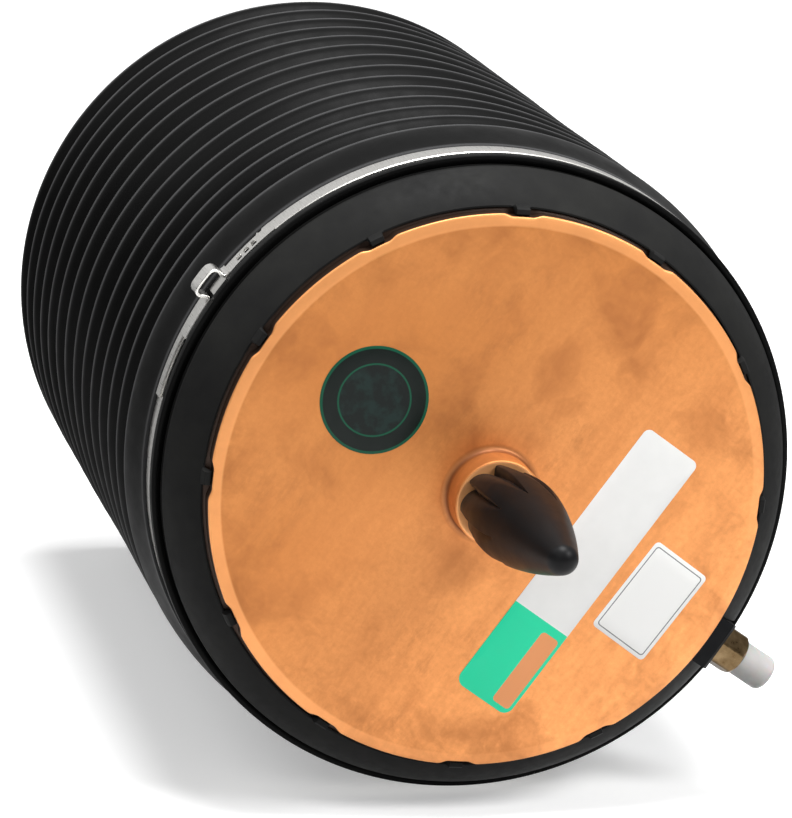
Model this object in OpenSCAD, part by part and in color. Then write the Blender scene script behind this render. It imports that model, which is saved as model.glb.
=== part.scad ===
// Air spring for a vehicle's rear axle: cap plate, rolling sleeve, piston and corrugated dust boot.
// It stands upright on its piston base, with +Z up and +X towards the air fitting.

/* [Overall] */
// Height of the cap plate's face above the base
face_h = 275; // [255:1:300]
// Diameter of the cap plate
cap_d = 161.4; // [156:0.2:166]
// Diameter of the piston that the sleeve rolls on
piston_d = 124; // [112:1:126]
// Travel from the rest height down to the bumper
jounce_travel = 84; // [70:1:88]

/* [Cap plate] */
// Thickness of the cap plate's sheet
cap_t = 3; // [2:0.5:4]
// Width of the cap plate's rolled rim
rim_w = 3.9; // [3:0.1:5]
// Drop of the cap plate's rolled rim
rim_drop = 1.2; // [0.8:0.1:2.4]
// Depth of the cap plate's skirt below the face
skirt_depth = 36; // [34:1:40]
// Outer radius of the nose boss
boss_r = 12.6; // [11:0.1:15]
// Height of the nose boss above the face
boss_h = 10.2; // [8:0.1:14]
// Wall of the nose boss
boss_wall = 1.2; // [0.8:0.1:1.6]
// Depth of the nose boss's floor below the face
boss_sink = 6; // [4:0.5:8]

/* [Locating nose] */
// Height of the nose's tip above the face
nose_tip_h = 72.8; // [60:0.1:80]
// Height at which the nose is widest
nose_wide_h = 27; // [22:0.5:30]
// Play between the nose's widest part and the boss's outer radius
nose_play = 0.1; // [0.1:0.1:0.6]
// Radius of the nose's rounded tip
nose_tip_r = 4.3; // [3:0.1:6]
// Radius of the nose's shank at its skirt, inside the boss
nose_skirt_r = 11.1; // [9:0.1:11.2]
// How far the nose's skirt sits below the boss's rim
skirt_sink = 1.8; // [1:0.2:4]
// Radius of the stem under the nose's skirt
nose_stem_r = 7.5; // [6:0.1:8.5]
// Number of flutes round the nose
flute_count = 8; // [5:1:10]
// Depth of a flute at the nose's skirt
flute_depth = 3; // [1.5:0.1:4]
// Height above the face at which a flute runs out
flute_top_h = 38; // [32:1:42]

/* [Housing ring] */
// Depth of the ring's inner ledge below the face
ledge_depth = 4.6; // [4:0.1:6]
// Width of the ring's inner ledge
ledge_w = 0.5; // [0.4:0.1:1.2]
// Depth of the ring's outer edge below the face
ring_edge_depth = 14.7; // [14:0.1:15.2]
// Rounding of the ring's outer edge
ring_round = 1.6; // [1:0.1:2]
// Wall of the ring's skirt
ring_wall = 3.3; // [2.5:0.1:4]
// Crown of the ring's sloping face
ring_crown = 0.7; // [0:0.1:1.2]
// Depth of the ring's lower edge below the face
ring_low_depth = 34; // [33:0.5:35]
// Places round the rim for snap fingers, one of them taken by the fitting block
finger_places = 12; // [8:1:16]
// Width of a snap finger
finger_w = 6.4; // [4:0.1:8]
// Reach of a finger's nose over the cap plate's rim
finger_bite = 0.9; // [0.5:0.1:1.4]
// Depth of a finger's top below the face
finger_depth = 1.6; // [1:0.1:2]

/* [Air fitting] */
// Depth of the fitting's axis below the face
port_depth = 11.4; // [11:0.1:11.6]
// Width of the fitting block
block_w = 15; // [14.4:0.2:18]
// Depth of the fitting block's top below the face
block_top_depth = 3.4; // [2.6:0.1:4]
// Depth of the fitting block's bottom below the face
block_low_depth = 18.8; // [18.5:0.1:20]
// How far the block's outer face stands outside the cap plate
block_out = 5.8; // [5:0.1:7]
// Bevel of the block's top edge
block_bevel = 1.2; // [0.6:0.1:2]
// Width of the fitting's hexagon across its flats
hex_w = 11.5; // [11:0.1:12]
// Length of the fitting's hexagon
hex_len = 8.4; // [6:0.1:10]
// Turn of the hexagon about its own axis
hex_turn = 15; // [0:1:60]
// Radius of the fitting's shank
shank_r = 4.2; // [4:0.1:4.3]
// Radius of the bore for the air tube
tube_bore_r = 3.05; // [2.5:0.05:3.3]
// Length of the tube bore from the spigot's end
tube_bore_len = 15; // [13:0.5:17]
// Radius of the air passage behind the tube bore
passage_r = 2.5; // [1.5:0.1:2.7]
// Radius of the spigot that the protective cap grips
spigot_r = 4; // [3.8:0.05:4.2]
// Length of the spigot
spigot_len = 4; // [3:0.5:5]
// Outer radius of the protective cap
cover_r = 5.2; // [5:0.1:5.6]
// Length of the protective cap
cover_len = 11; // [9:0.2:14]
// Radius of the protective cap's rounded end
cover_round = 1.6; // [1:0.1:3]
// Wire thickness of the small ring seals
seal_t = 1.4; // [1.2:0.1:1.6]

/* [Rubber] */
// Thickness of the air sleeve
sleeve_t = 4; // [3:0.1:5]
// Height of the rolling lobe's centre above the base
lobe_z = 80; // [76:1:84]
// Depth of the sleeve's upper end below the face
sleeve_top_depth = 22.5; // [22:0.1:23.5]
// Thickness of the dust boot
boot_t = 2.2; // [2:0.1:2.6]
// Depth of the boot's upper edge below the face
boot_edge_depth = 18.3; // [18.2:0.1:19]
// Depth of the clamp's seat in the boot's collar
seat_depth = 1; // [0.6:0.1:1.2]
// How far the boot's folds stand outside its collar
fold_stand = 3.2; // [2:0.1:5]
// Depth of the boot's valleys under its crests
fold_depth = 4.5; // [3:0.1:5]
// Depth of the first crest below the face
first_crest_depth = 48; // [46:0.5:50]
// Number of folds between the first crest and the last
folds = 13; // [11:1:14]
// How far the crests bunch towards the clamp and thin out in the lower half
crest_bunch = 3.7; // [0:0.1:4]
// How far the middle crest sits above even spacing
crest_lift = 2.1; // [0:0.1:3]
// How far the shoulder behind the clamp stands over the clamp's seat
shoulder_step = 1.6; // [0.8:0.1:2]
// Height of the boot's lowest crest above the base
last_crest_z = 11; // [11:0.5:13]

/* [Boot clamp] */
// Depth of the clamp's upper edge below the face
clamp_depth = 22.8; // [22.5:0.1:24]
// Width of the clamp's band
band_w = 8.2; // [7:0.1:9]
// Thickness of the clamp's band
band_t = 0.7; // [0.5:0.1:1]
// Direction of the clamp's ear
ear_angle = 178; // [170:1:184]
// Width of the ear's loop along the band
ear_len = 6.6; // [6:0.2:12]
// Height of the ear's loop outside the band
ear_h = 5.4; // [4:0.2:8]
// Length of the band's outer layer on the tail's side of the ear
tail_deg = 52; // [30:1:70]
// Length of the tongue and its root on the other side
tongue_deg = 23; // [18:1:40]

/* [Piston] */
// Height of the piston's top above the base
piston_top = 128; // [124:1:132]
// Wall of the piston
piston_wall = 4; // [3:0.5:5]
// Height of the neck that holds the sleeve's lower end
neck_h = 24; // [22:1:26]
// How far the neck lies inside the piston's side
neck_step = 6; // [5:0.5:7]
// Flare of the piston at its foot
piston_flare = 4; // [0:0.5:5]
// Thickness of the base flange
base_t = 10; // [9:0.5:11]
// Diameter of the base flange
base_d = 160; // [154:1:162]
// Number of screws between base flange and piston
screw_count = 6; // [4:1:8]
// Diameter of the circle of those screws
screw_circle = 106; // [104:1:108]
// Radius of those screws
screw_r = 3; // [2.5:0.1:3.5]
// Height above the base at which the piston's flare starts
flare_z = 46; // [40:1:48]
// Radius of the lower mounting thread's bore
mount_bore_r = 4.25; // [3.5:0.05:5]
// Length of the lower mounting thread
mount_bore_len = 20; // [16:1:24]
// Outer radius of the threaded insert
insert_r = 9; // [8:0.5:10]
// Outer radius of the jounce bumper
bumper_r = 30; // [24:1:34]

/* [Crimp rings and plates] */
// Thickness of the crimp rings
crimp_t = 2; // [1.5:0.1:2.5]
// Height of the crimp rings
crimp_h = 12; // [10:0.5:13]
// Thickness of the strike plate
strike_t = 3; // [2:0.5:4]
// Radius of the strike plate
strike_r = 38; // [34:1:44]

/* [Hidden] */
$fn = 96;

// Clearances
soft_gap = 0.3;
slip_gap = 0.2;
cut = 1;

// Radii, from the cap plate outwards
cap_r = cap_d / 2;
skirt_in_r = cap_r - cap_t;
sleeve_out_r = cap_r + sleeve_t;
crimp_out_r = sleeve_out_r + crimp_t;
ring_in_r = crimp_out_r + slip_gap;
ring_out_r = ring_in_r + ring_wall;
collar_r = ring_out_r + boot_t;
crest_r = collar_r + fold_stand;
seat_r = collar_r - seat_depth;
band_out_r = seat_r + band_t;

// Radii of the piston, from the outside in
piston_r = piston_d / 2;
leg_in_r = piston_r + soft_gap;
leg_out_r = leg_in_r + sleeve_t;
neck_r = piston_r - neck_step;
neck_leg_in_r = neck_r + soft_gap;
neck_leg_out_r = neck_leg_in_r + sleeve_t;
lobe_r = (cap_r + leg_in_r + sleeve_t) / 2;
bore_r = piston_r - piston_wall;
base_r = base_d / 2;

// Heights above the base
neck_z = piston_top - neck_h;
neck_slope_h = neck_step;
sleeve_top_z = face_h - sleeve_top_depth;
port_z = face_h - port_depth;
clamp_z = face_h - clamp_depth - band_w;
strike_z = face_h - boss_sink - cap_t - strike_t;
bumper_top = strike_z - jounce_travel - soft_gap;
boot_low_z = 1.5;
boot_top_z = face_h - boot_edge_depth;
flank_z = clamp_z - slip_gap;

// Inner details of the piston and its base
neck_edge = 1;
crimp_inset = 1;
foot_in_r = bore_r - 6;
foot_t = 6;
deck_t = 5;
deck_boss_r = 11;
deck_boss_len = 23;
post_r = screw_r + 3.4;
post_h = 22;
post_lift = 1;
head_r = 2 * screw_r;
head_h = 1.6 * screw_r;
head_seat_z = 6;
screw_len = 24;
bumper_screw_r = 4;
bumper_screw_len = 19;
bumper_floor = 8;
washer_r = 13;
washer_t = 3;
insert_len = mount_bore_len + 4;
hub_wall = 5;
base_seal_r = piston_r - 1.5;
base_seal_w = 2;
hoop_t = 1.5;
hoop_h = 4;

// The boot's crests, from the clamp down
first_crest_z = face_h - first_crest_depth;
crests = [for (i = [0 : folds]) let (t = i / folds)
    first_crest_z - (first_crest_z - last_crest_z) * t
        + crest_bunch * sin(360 * t) + crest_lift * sin(180 * t)];

// Place of the fitting along its own axis
port_boss_len = 9;
port_boss_wall = 3;
seal_land = 1.2;
hex_z = cap_r + block_out;
spigot_z = hex_z + hex_len;
fitting_end = spigot_z + spigot_len;
shank_end = skirt_in_r - port_boss_len;
bore_low = fitting_end - tube_bore_len;
tube_seal_z = hex_z + seal_land;
collet_z = tube_seal_z + seal_t + seal_land;
collet_len = 4;
collet_wall = 0.75;
port_boss_r = shank_r + port_boss_wall;

// Points of an arc about [cx, cz], from angle a to angle b
function arc(cx, cz, r, a, b, n = 6) =
    [for (i = [0 : n]) let (t = a + (b - a) * i / n) [cx + r * cos(t), cz + r * sin(t)]];

// Points of one fold between the crests at heights z0 and z1: a rounded crest and a narrower valley
fold_steps = 8;
function fold(z0, z1, out_r) =
    [for (i = [0 : fold_steps - 1]) let (t = i / fold_steps)
        [out_r - fold_depth * pow((1 - cos(360 * t)) / 2, 1.4), z0 + (z1 - z0) * t]];

// Points of the smooth flank that rises from the collar to the first crest
flank_steps = 5;
function flank(z0, z1, r0, r1) =
    [for (i = [0 : flank_steps - 1]) let (t = i / flank_steps)
        [r0 + (r1 - r0) * pow(sin(90 * t), 0.8), z0 + (z1 - z0) * t]];

// A straight ring between two radii
module tube(r_out, r_in, h) {
    difference() {
        cylinder(r = r_out, h = h);
        translate([0, 0, -cut]) cylinder(r = r_in, h = h + 2 * cut);
    }
}

// Puts its children on the air fitting's axis, with +Z pointing outwards
module on_port() {
    translate([0, 0, port_z]) rotate([0, 90, 0]) children();
}

// Repeats its children round the axis, from the first place to the last
module around(count, first = 0) {
    for (i = [first : count - 1]) rotate([0, 0, i * 360 / count]) children();
}

// Cap plate: face with a rolled rim, skirt, nose boss and the inner boss of the air port
module top_cap() {
    boss_in_r = boss_r - boss_wall;
    floor_z = face_h - boss_sink;
    fillet = 0.9;
    lip = 0.4;
    color("#dd9555") difference() {
        union() {
            rotate_extrude() polygon(concat(
                [[0, floor_z - cap_t], [boss_r, floor_z - cap_t], [boss_r, face_h - cap_t],
                 [skirt_in_r - fillet, face_h - cap_t], [skirt_in_r, face_h - cap_t - fillet],
                 [skirt_in_r, face_h - skirt_depth], [cap_r, face_h - skirt_depth]],
                [for (t = [0 : 15 : 90]) [cap_r - rim_w * (1 - cos(t)), face_h - rim_drop * (1 - sin(t))]],
                [[boss_r, face_h], [boss_r, face_h + boss_h - lip], [boss_r - lip, face_h + boss_h],
                 [boss_in_r, face_h + boss_h], [boss_in_r, floor_z], [0, floor_z]]));
            on_port() translate([0, 0, shank_end])
                cylinder(r = port_boss_r, h = skirt_in_r - shank_end + cap_t / 2);
        }
        on_port() translate([0, 0, shank_end - cut])
            cylinder(r = shank_r, h = port_boss_len + cap_t + 2 * cut);
        around(finger_places, 1) rim_notch();
    }
}

// Notch in the cap plate's rim, for a snap finger
module rim_notch() {
    notch_w = finger_w + 2 * slip_gap;
    notch_low = ledge_depth + slip_gap;
    translate([cap_r - finger_bite - slip_gap, -notch_w / 2, face_h - notch_low])
        cube([finger_bite + cap_t, notch_w, notch_low + cut]);
}

// Locating nose: a tapered rubber body with flutes cut up from its skirt
function nose_r(h) = let (s = (h - nose_wide_h) / (nose_tip_h - nose_tip_r - nose_wide_h))
    nose_tip_r + (boss_r - nose_play - nose_tip_r) * (1 - pow(max(s, 0), 1.5));
module locating_nose() {
    skirt_z = boss_h - skirt_sink;
    taper_end = nose_tip_h - nose_tip_r;
    color("#28241f") translate([0, 0, face_h]) difference() {
        rotate_extrude() polygon(concat(
            [[0, -boss_sink], [nose_stem_r, -boss_sink], [nose_stem_r, skirt_z],
             [nose_skirt_r, skirt_z], [nose_skirt_r, boss_h]],
            [for (i = [0 : 10]) let (h = nose_wide_h + (taper_end - nose_wide_h) * i / 10) [nose_r(h), h]],
            [for (i = [1 : 6]) [nose_tip_r * cos(15 * i), taper_end + nose_tip_r * sin(15 * i)]]));
        around(flute_count) nose_flute(skirt_z);
    }
}

// Cutter of one flute: a square bar whose edge leaves the nose's surface at the flute's end
module nose_flute(skirt_z) {
    start_r = nose_skirt_r - flute_depth;
    end_r = nose_r(flute_top_h);
    lean = atan2(end_r - start_r, flute_top_h - skirt_z);
    bar = 2 * boss_r;
    skew = 12;
    translate([start_r, 0, skirt_z]) rotate([0, lean, 0]) rotate([0, 0, -45 - skew])
        translate([0, 0, -cut]) cube([bar, bar, flute_top_h]);
}

// Housing ring: sloping face outside the cap plate, skirt over the crimped sleeve, snap fingers
module housing_ring() {
    inner_r = cap_r + slip_gap;
    groove_r = ring_out_r - 1;
    groove_h = 1.6;
    groove_lip = 0.4;
    bend = 12;
    shelf_z = sleeve_top_z + slip_gap;
    slope_end = 37;
    round_x = ring_out_r - ring_round;
    round_z = face_h - ring_edge_depth - ring_round * sin(slope_end);
    edge = [round_x + ring_round * cos(slope_end), face_h - ring_edge_depth];
    color("#2b2b2c") difference() {
        union() {
            rotate_extrude() polygon(concat(
                [[inner_r, face_h - ledge_depth]],
                crowned([inner_r + ledge_w, face_h - ledge_depth], edge, ring_crown),
                arc(round_x, round_z, ring_round, slope_end - bend, 0, 2),
                [[ring_out_r, boot_top_z + groove_h + groove_lip], [groove_r, boot_top_z + groove_h],
                 [groove_r, boot_top_z], [ring_out_r, boot_top_z],
                 [ring_out_r, face_h - ring_low_depth], [ring_in_r, face_h - ring_low_depth],
                 [ring_in_r, shelf_z], [inner_r, shelf_z]]));
            around(finger_places, 1) snap_finger();
        }
        block_window();
    }
}

// Points from a to b that stand out from the straight line by up to rise
function crowned(a, b, rise, n = 6) = let (d = b - a, l = norm(d), out = [-d[1], d[0]] / l)
    [for (i = [0 : n]) let (t = i / n) a + d * t + out * (4 * rise * t * (1 - t))];

// Snap finger: an upright tongue on the ring's ledge, with a nose over the cap plate's rim
module snap_finger() {
    front_r = cap_r + slip_gap;
    back_r = front_r + 0.8;
    tip_r = cap_r - finger_bite;
    under = 1;
    bevel = 0.6;
    translate([0, finger_w / 2, face_h]) rotate([90, 0, 0]) linear_extrude(finger_w) polygon([
        [back_r, -ledge_depth - cut], [front_r, -ledge_depth - cut], [front_r, -ledge_depth],
        [tip_r, -ledge_depth + under], [tip_r, -finger_depth - bevel], [tip_r + bevel, -finger_depth],
        [front_r, -finger_depth], [back_r, -finger_depth - bevel]]);
}

// The window in the ring that the fitting block stands in
module block_window() {
    width = block_w + 2 * slip_gap;
    translate([cap_r / 2, -width / 2, face_h - block_low_depth]) cube([cap_r, width, block_low_depth + cut]);
}

// Fitting block: stands in the ring's window, with a flat outer face and the fitting's bore
module fitting_block() {
    out_r = cap_r + block_out;
    top = -block_top_depth;
    color("#1d1d1f") difference() {
        translate([0, block_w / 2, face_h]) rotate([90, 0, 0]) linear_extrude(block_w) polygon([
            [cap_r / 2, -block_low_depth], [out_r, -block_low_depth], [out_r, top - block_bevel],
            [out_r - block_bevel, top], [cap_r / 2, top]]);
        translate([0, 0, face_h - block_low_depth - cut]) cylinder(r = cap_r, h = block_low_depth + cut);
        on_port() translate([0, 0, shank_end]) cylinder(r = shank_r, h = cap_r);
        on_port() translate([0, 0, hex_z - seal_t]) cylinder(r = shank_r + seal_t, h = seal_t + cut);
    }
}

// Air fitting: hexagon with a turned end, shank, spigot and the stepped bore for the air tube
module air_fitting() {
    corner_slope = 0.8;
    corner_wear = 0.25;
    color("#9a7b3f") on_port() difference() {
        union() {
            translate([0, 0, shank_end]) cylinder(r = shank_r, h = hex_z - shank_end + cut);
            intersection() {
                translate([0, 0, hex_z]) rotate([0, 0, -hex_turn])
                    cylinder(d = hex_w / cos(30), h = hex_len, $fn = 6);
                translate([0, 0, hex_z])
                    cylinder(r1 = hex_w / 2 + corner_slope * hex_len, r2 = hex_w / 2, h = hex_len);
                translate([0, 0, hex_z - cut])
                    cylinder(d = hex_w / cos(30) - 2 * corner_wear, h = hex_len + 2 * cut);
            }
            translate([0, 0, spigot_z - cut]) cylinder(r = spigot_r, h = spigot_len + cut);
        }
        translate([0, 0, shank_end - cut]) cylinder(r = passage_r, h = fitting_end - shank_end + 2 * cut);
        translate([0, 0, bore_low]) cylinder(r = tube_bore_r, h = tube_bore_len + cut);
        translate([0, 0, tube_seal_z]) cylinder(r = tube_bore_r + seal_t, h = seal_t);
        translate([0, 0, collet_z]) cylinder(r = tube_bore_r + collet_wall, h = collet_len);
    }
}

// Ring seal between the fitting's hexagon and the block
module port_seal() {
    color("#111111") on_port() translate([0, 0, hex_z - seal_t]) tube(shank_r + seal_t, shank_r, seal_t);
}

// O-ring inside the fitting, round the air tube
module tube_seal() {
    color("#111111") on_port() translate([0, 0, tube_seal_z]) tube(tube_bore_r + seal_t, tube_bore_r, seal_t);
}

// Slotted collet that grips the air tube
module tube_collet() {
    slot_w = 0.8;
    root = 1;
    color("#b9a25c") on_port() translate([0, 0, collet_z]) difference() {
        tube(tube_bore_r + collet_wall, tube_bore_r, collet_len);
        for (a = [0, 90]) rotate([0, 0, a]) translate([-tube_bore_r - cut, -slot_w / 2, root])
            cube([2 * (tube_bore_r + cut), slot_w, collet_len]);
    }
}

// Protective cap: a hollow plastic cover that grips the spigot
module port_cap() {
    grip_r = spigot_r + 0.05;
    wall = 1.2;
    corner = 1;
    low = spigot_z + slip_gap;
    end = low + cover_len;
    color("#d9dad6") on_port() rotate_extrude() polygon(concat(
        [[grip_r, low], [cover_r, low]],
        arc(cover_r - cover_round, end - cover_round, cover_round, 0, 90),
        [[0, end], [0, end - wall], [grip_r - corner, end - wall], [grip_r, end - wall - corner]]));
}

// Ear clamp: band, outer layer on both sides of the ear, slotted tail, tongue and ear loop
module boot_clamp() {
    ear_deg = ear_len / band_out_r * 180 / PI;
    low_deg = ear_angle - ear_deg / 2;
    high_deg = ear_angle + ear_deg / 2;
    lap = 0.4;
    inset = 0.15;
    slot_deg = 11;
    slot_gap = 1;
    slot_step = 2.7;
    slot_w = 1.1;
    slot_len = band_w * 0.4;
    slot_sink = 0.15;
    tail_inset = 0.6;
    hook_r = band_out_r + band_t;
    color("#c9c9c6") translate([0, 0, clamp_z]) difference() {
        union() {
            tube(band_out_r, seat_r, band_w);
            layer(low_deg - tail_deg, tail_deg + lap, band_out_r, inset);
            layer(low_deg - slot_deg, slot_deg - slot_gap, hook_r, tail_inset);
            rotate([0, 0, high_deg - lap]) tongue(tongue_deg + lap, inset);
            rotate([0, 0, ear_angle]) translate([0, 0, 2 * inset]) ear_loop(band_w - 4 * inset);
        }
        for (i = [1 : 3]) rotate([0, 0, low_deg - i * slot_step])
            translate([hook_r - slot_sink, -slot_w / 2, (band_w - slot_len) / 2])
                cube([2 * band_t, slot_w, slot_len]);
    }
}

// A stretch of band on top of another: its first angle, length in degrees, radius and inset at the edges
module layer(from_deg, length_deg, r, inset) {
    root = band_t / 2;
    rotate([0, 0, from_deg]) rotate_extrude(angle = length_deg)
        translate([r - root, inset]) square([band_t + root, band_w - 2 * inset]);
}

// The tongue beyond the ear: full width at its root, narrower from there to its tip
module tongue(length_deg, inset) {
    root_deg = length_deg * 0.42;
    tip_w = band_w * 0.68;
    difference() {
        layer(0, length_deg, band_out_r, inset);
        rotate([0, 0, root_deg]) rotate_extrude(angle = length_deg)
            translate([band_out_r - band_t, tip_w]) square([3 * band_t, band_w]);
    }
}

// The ear: a raised loop of band, pinched at its foot, with rounded shoulders and an open middle
module ear_loop(width) {
    wall = 0.9;
    bend = 1.6;
    sink = 0.3;
    flare = 1;
    half = ear_len / 2;
    wide = half + flare;
    top = band_out_r + ear_h;
    foot = band_out_r - sink;
    linear_extrude(width) difference() {
        polygon(concat([[foot, -half]], arc(top - bend, bend - wide, bend, -90, 0),
            arc(top - bend, wide - bend, bend, 0, 90), [[foot, half]]));
        polygon(concat([[foot - cut, wall - half]], arc(top - bend, bend - wide, bend - wall, -90, 0),
            arc(top - bend, wide - bend, bend - wall, 0, 90), [[foot - cut, half - wall]]));
    }
}

// Dust boot: bead, clamp seat, flank, folds, and a collar round the base flange
module dust_boot() {
    low_in_r = base_r + soft_gap;
    low_out_r = low_in_r + boot_t;
    end_round = 4.5;
    bead = 0.6;
    edge = 0.5;
    shoulder_r = seat_r + shoulder_step;
    foot_z = last_crest_z - end_round;
    seat_top = clamp_z + band_w + slip_gap;
    in_crest_r = crest_r - boot_t;
    n = len(crests) - 2;
    outer = concat([[collar_r - bead, boot_top_z], [collar_r, boot_top_z - bead],
         [collar_r, seat_top + bead], [seat_r, seat_top], [seat_r, flank_z], [shoulder_r - edge, flank_z]],
        flank(flank_z - edge, first_crest_z, shoulder_r, crest_r),
        [for (i = [0 : n]) each fold(crests[i], crests[i + 1], crest_r)],
        arc(crest_r - end_round, last_crest_z, end_round, 0, -90),
        [[low_out_r, foot_z], [low_out_r, boot_low_z]]);
    inner = concat([[low_in_r, boot_low_z], [low_in_r, foot_z + boot_t]],
        arc(crest_r - end_round, last_crest_z, end_round - boot_t, -90, 0),
        [for (i = [n : -1 : 0]) each reverse(fold(crests[i], crests[i + 1], in_crest_r))],
        reverse(flank(face_h - ring_low_depth - cut, first_crest_z, ring_out_r, in_crest_r)),
        [[ring_out_r, boot_top_z]]);
    color("#1b1b1c") rotate_extrude() polygon(concat(outer, inner));
}
function reverse(list) = [for (i = [len(list) - 1 : -1 : 0]) list[i]];

// Air sleeve: outer leg under the crimp ring, rolling lobe, inner leg along the piston and its neck
module air_sleeve() {
    lobe_out = sleeve_out_r - lobe_r;
    lobe_in = lobe_out - sleeve_t;
    top = sleeve_top_z;
    low_end = piston_top - neck_edge;
    bend = 1;
    slope_top = neck_z + soft_gap;
    slope_low = slope_top - neck_slope_h;
    color("#232323") rotate_extrude() polygon(concat(
        [[cap_r, top], [sleeve_out_r, top]],
        arc(lobe_r, lobe_z, lobe_out, 0, -180, 16),
        [[leg_in_r, slope_low], [neck_leg_in_r, slope_top], [neck_leg_in_r, low_end],
         [neck_leg_out_r, low_end], [neck_leg_out_r, slope_top + bend], [leg_out_r, slope_low + bend]],
        arc(lobe_r, lobe_z, lobe_in, -180, 0, 16)));
}

// Swaged ring that clamps the sleeve to the cap plate's skirt
module upper_crimp_ring() {
    color("#8f9194") translate([0, 0, sleeve_top_z - crimp_inset - crimp_h]) crimp_ring(sleeve_out_r);
}

// Swaged ring that clamps the sleeve to the piston's neck
module lower_crimp_ring() {
    color("#8f9194") translate([0, 0, piston_top - neck_edge - 2 * crimp_inset - crimp_h])
        crimp_ring(neck_leg_out_r + soft_gap);
}

// A crimp ring with two swaged waists on its outside
module crimp_ring(in_r) {
    r = in_r + crimp_t;
    waist = 0.5;
    edge = 0.8;
    rise = crimp_h / 12;
    rotate_extrude() polygon([
        [in_r, 0], [r - waist, 0], [r, edge], [r, 3 * rise], [r - waist, 4 * rise],
        [r, 5 * rise], [r, 7 * rise], [r - waist, 8 * rise], [r, 9 * rise],
        [r, crimp_h - edge], [r - waist, crimp_h], [in_r, crimp_h]]);
}

// Strike plate under the cap, with a rolled edge, that meets the bumper
module strike_plate() {
    edge_h = 2;
    edge_w = 2;
    color("#9b9c9c") translate([0, 0, strike_z]) rotate_extrude() polygon([
        [0, 0], [strike_r - 2 * edge_w, 0], [strike_r, edge_h], [strike_r, strike_t + edge_h],
        [strike_r - edge_w, strike_t + edge_h], [strike_r - 2 * edge_w, strike_t], [0, strike_t]]);
}

// Piston: flared wall, neck, closed deck with the bumper's boss, ribs, and bosses for the base screws
module piston() {
    flare_r = piston_r + piston_flare;
    slope_z = neck_z - neck_slope_h;
    neck_in_r = neck_r - piston_wall;
    deck_z = piston_top - deck_t;
    rib_depth = 14;
    rib_t = 3;
    rib_count = 8;
    color("#26272a") difference() {
        union() {
            rotate_extrude() polygon([
                [foot_in_r, base_t], [flare_r, base_t], [flare_r, base_t + foot_t], [piston_r, flare_z],
                [piston_r, slope_z], [neck_r, neck_z], [neck_r, piston_top - neck_edge],
                [neck_r - neck_edge, piston_top], [0, piston_top], [0, deck_z],
                [neck_in_r, deck_z], [neck_in_r, neck_z],
                [bore_r, slope_z], [bore_r, base_t + foot_t], [foot_in_r, base_t + foot_t]]);
            translate([0, 0, piston_top - deck_boss_len]) cylinder(r = deck_boss_r, h = deck_boss_len - cut);
            around(screw_count) translate([screw_circle / 2, 0, base_t + post_lift])
                cylinder(r = post_r, h = post_h);
            around(rib_count) translate([deck_boss_r - cut, -rib_t / 2, deck_z - rib_depth])
                cube([neck_in_r - deck_boss_r + 2 * cut, rib_t, rib_depth + cut]);
        }
        translate([0, 0, piston_top - bumper_screw_len]) cylinder(r = bumper_screw_r, h = bumper_screw_len + cut);
        around(screw_count) translate([screw_circle / 2, 0, base_t - cut])
            cylinder(r = screw_r, h = screw_len - base_t + head_seat_z + cut);
    }
}

// Jounce bumper: cellular column with two waists and a recess for its screw
module jounce_bumper() {
    h = bumper_top - piston_top;
    step = h / 12;
    waist = 4.8;
    recess_r = washer_r + 2;
    color("#cfc4a0") translate([0, 0, piston_top]) rotate_extrude() polygon([
        [bumper_screw_r + cut, 0], [bumper_r, 0], [bumper_r, 3 * step], [bumper_r - waist, 4 * step],
        [bumper_r, 5 * step], [bumper_r, 7 * step], [bumper_r - waist, 8 * step],
        [bumper_r - cut, 9 * step], [bumper_r - waist, h], [recess_r, h],
        [recess_r, bumper_floor], [bumper_screw_r + cut, bumper_floor]]);
}

// Washer that spreads the bumper screw's load
module bumper_washer() {
    color("#b8babb") translate([0, 0, piston_top + bumper_floor])
        tube(washer_r, bumper_screw_r + slip_gap, washer_t);
}

// Screw that holds the bumper on the piston
module bumper_screw() {
    head_z = piston_top + bumper_floor + washer_t;
    head_h = 6;
    key_depth = 3;
    color("#a9abad") union() {
        translate([0, 0, head_z]) difference() {
            cylinder(r = 1.8 * bumper_screw_r, h = head_h);
            translate([0, 0, head_h - key_depth]) cylinder(r = screw_r, h = key_depth + cut, $fn = 6);
        }
        translate([0, 0, piston_top - bumper_screw_len])
            cylinder(r = bumper_screw_r, h = head_z - piston_top + bumper_screw_len + cut);
    }
}

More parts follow.
